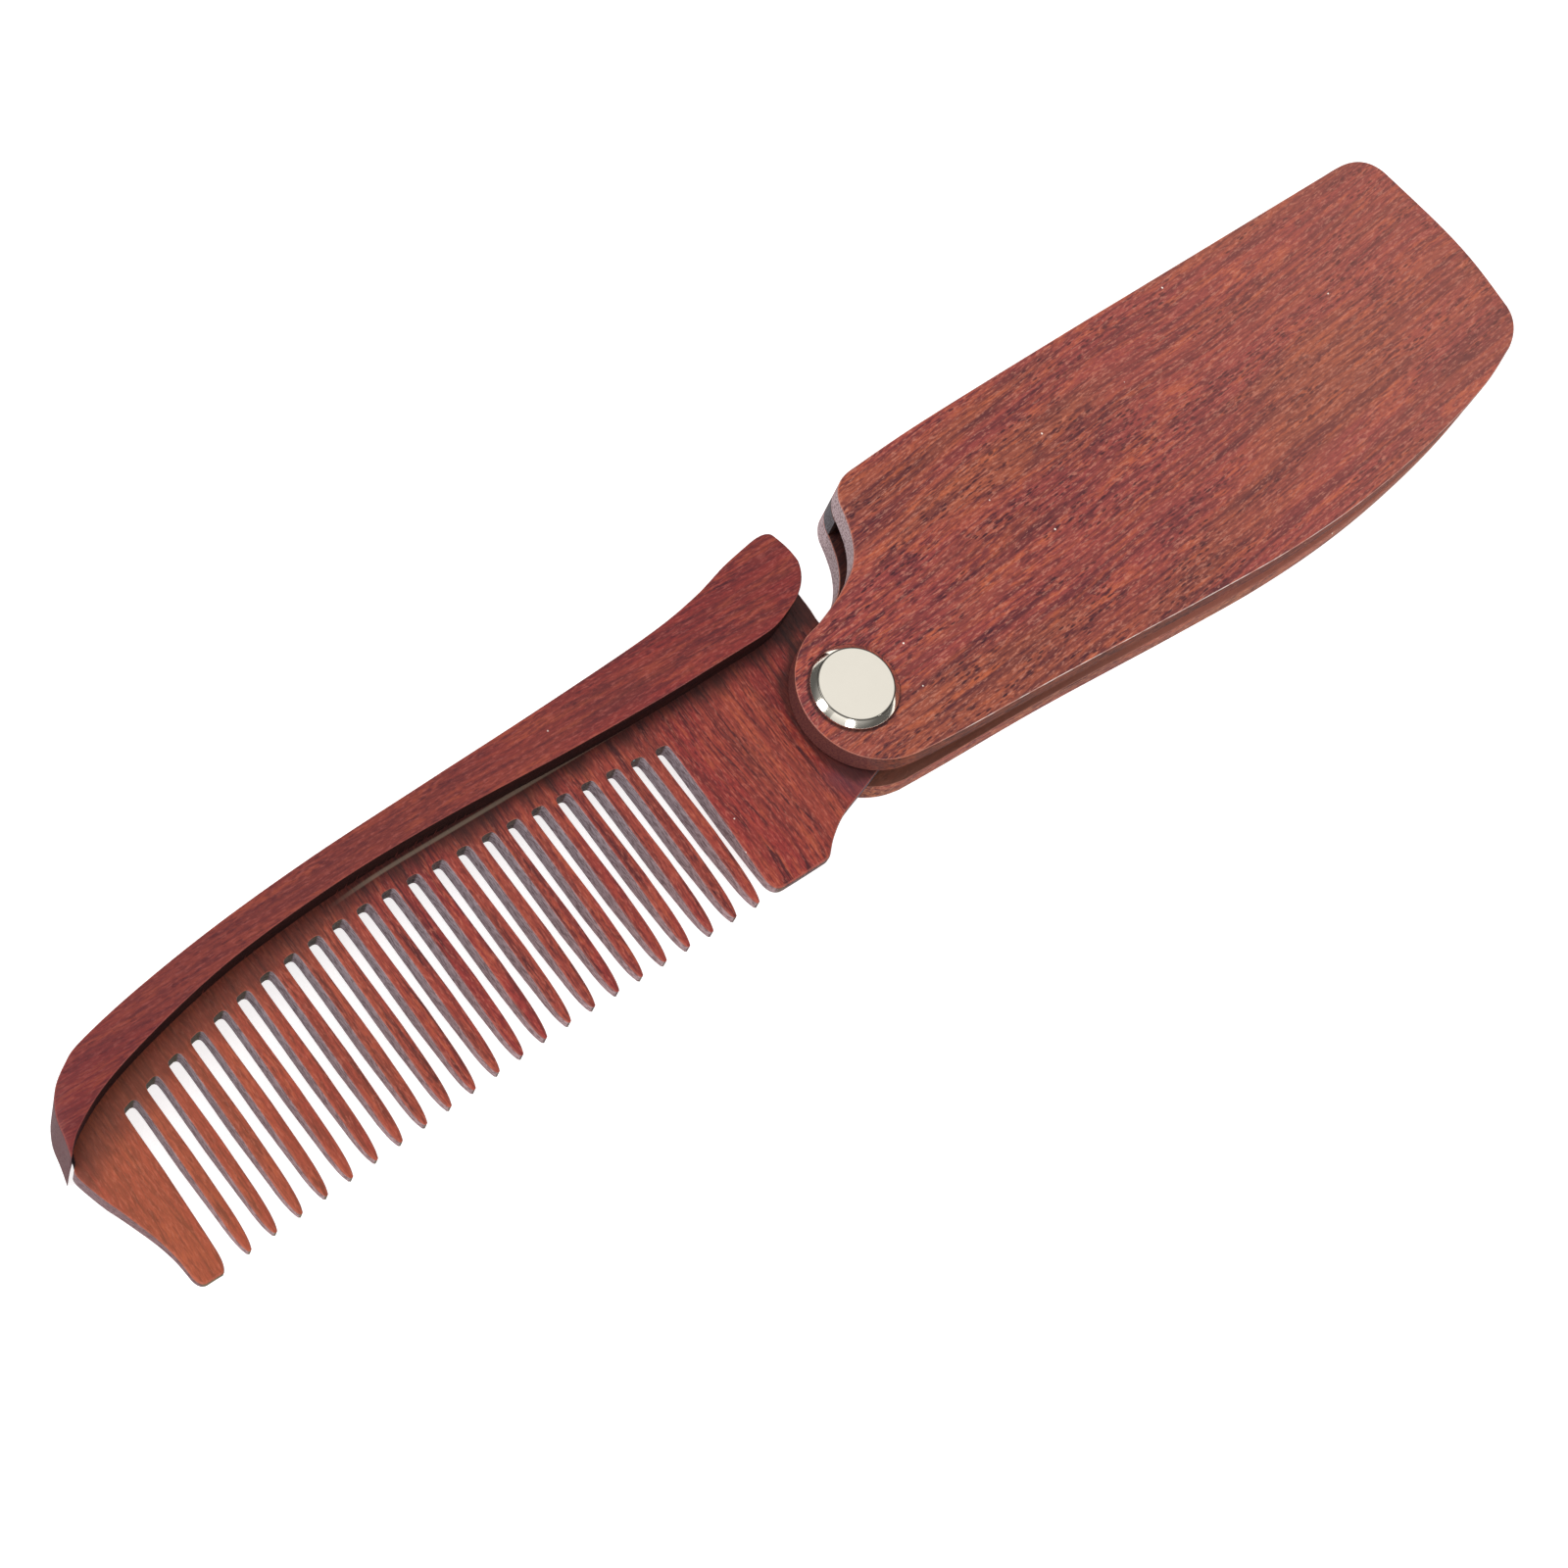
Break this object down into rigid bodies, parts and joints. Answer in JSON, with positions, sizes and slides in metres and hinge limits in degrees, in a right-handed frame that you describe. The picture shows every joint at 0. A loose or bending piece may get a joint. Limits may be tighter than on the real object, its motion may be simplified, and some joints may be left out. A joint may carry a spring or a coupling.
{
  "type": "folding beard comb",
  "caption": "Pocket beard comb in red wood: a toothed comb body swings on a metal pivot and folds into a slotted wooden handle.",
  "frame": {"origin": "middle of the open comb's footprint, on the face that it lies on", "axes": "+X along the handle away from the comb, +Y from the teeth towards the spine, +Z out of the front face, which carries the pivot cap"},
  "size_m": [0.193, 0.039, 0.0106],
  "materials": {
    "board_wood": "satin oiled red wood, grain along the teeth",
    "rosewood": "satin oiled red wood, grain along the length",
    "spacer_wood": "dark open-pored wood, matt",
    "nickel": "polished warm nickel plate",
    "brass": "bare washer stock"
  },
  "bodies": {
    "handle": {"front_scale": "rosewood", "back_scale": "rosewood", "handle_spacer": "spacer_wood", "pivot_post": "nickel", "pivot_screw": "nickel", "front_washer": "brass", "back_washer": "brass"},
    "comb": {"tooth_board": "board_wood", "spine": "rosewood"}
  },
  "joints": [
    {"name": "fold", "type": "hinge", "parent": "handle", "child": "comb", "pos_m": [-0.00225, -0.00387, 0.00475], "axis": [0, 0, 1], "range_deg": [-20, 175]}
  ]
}
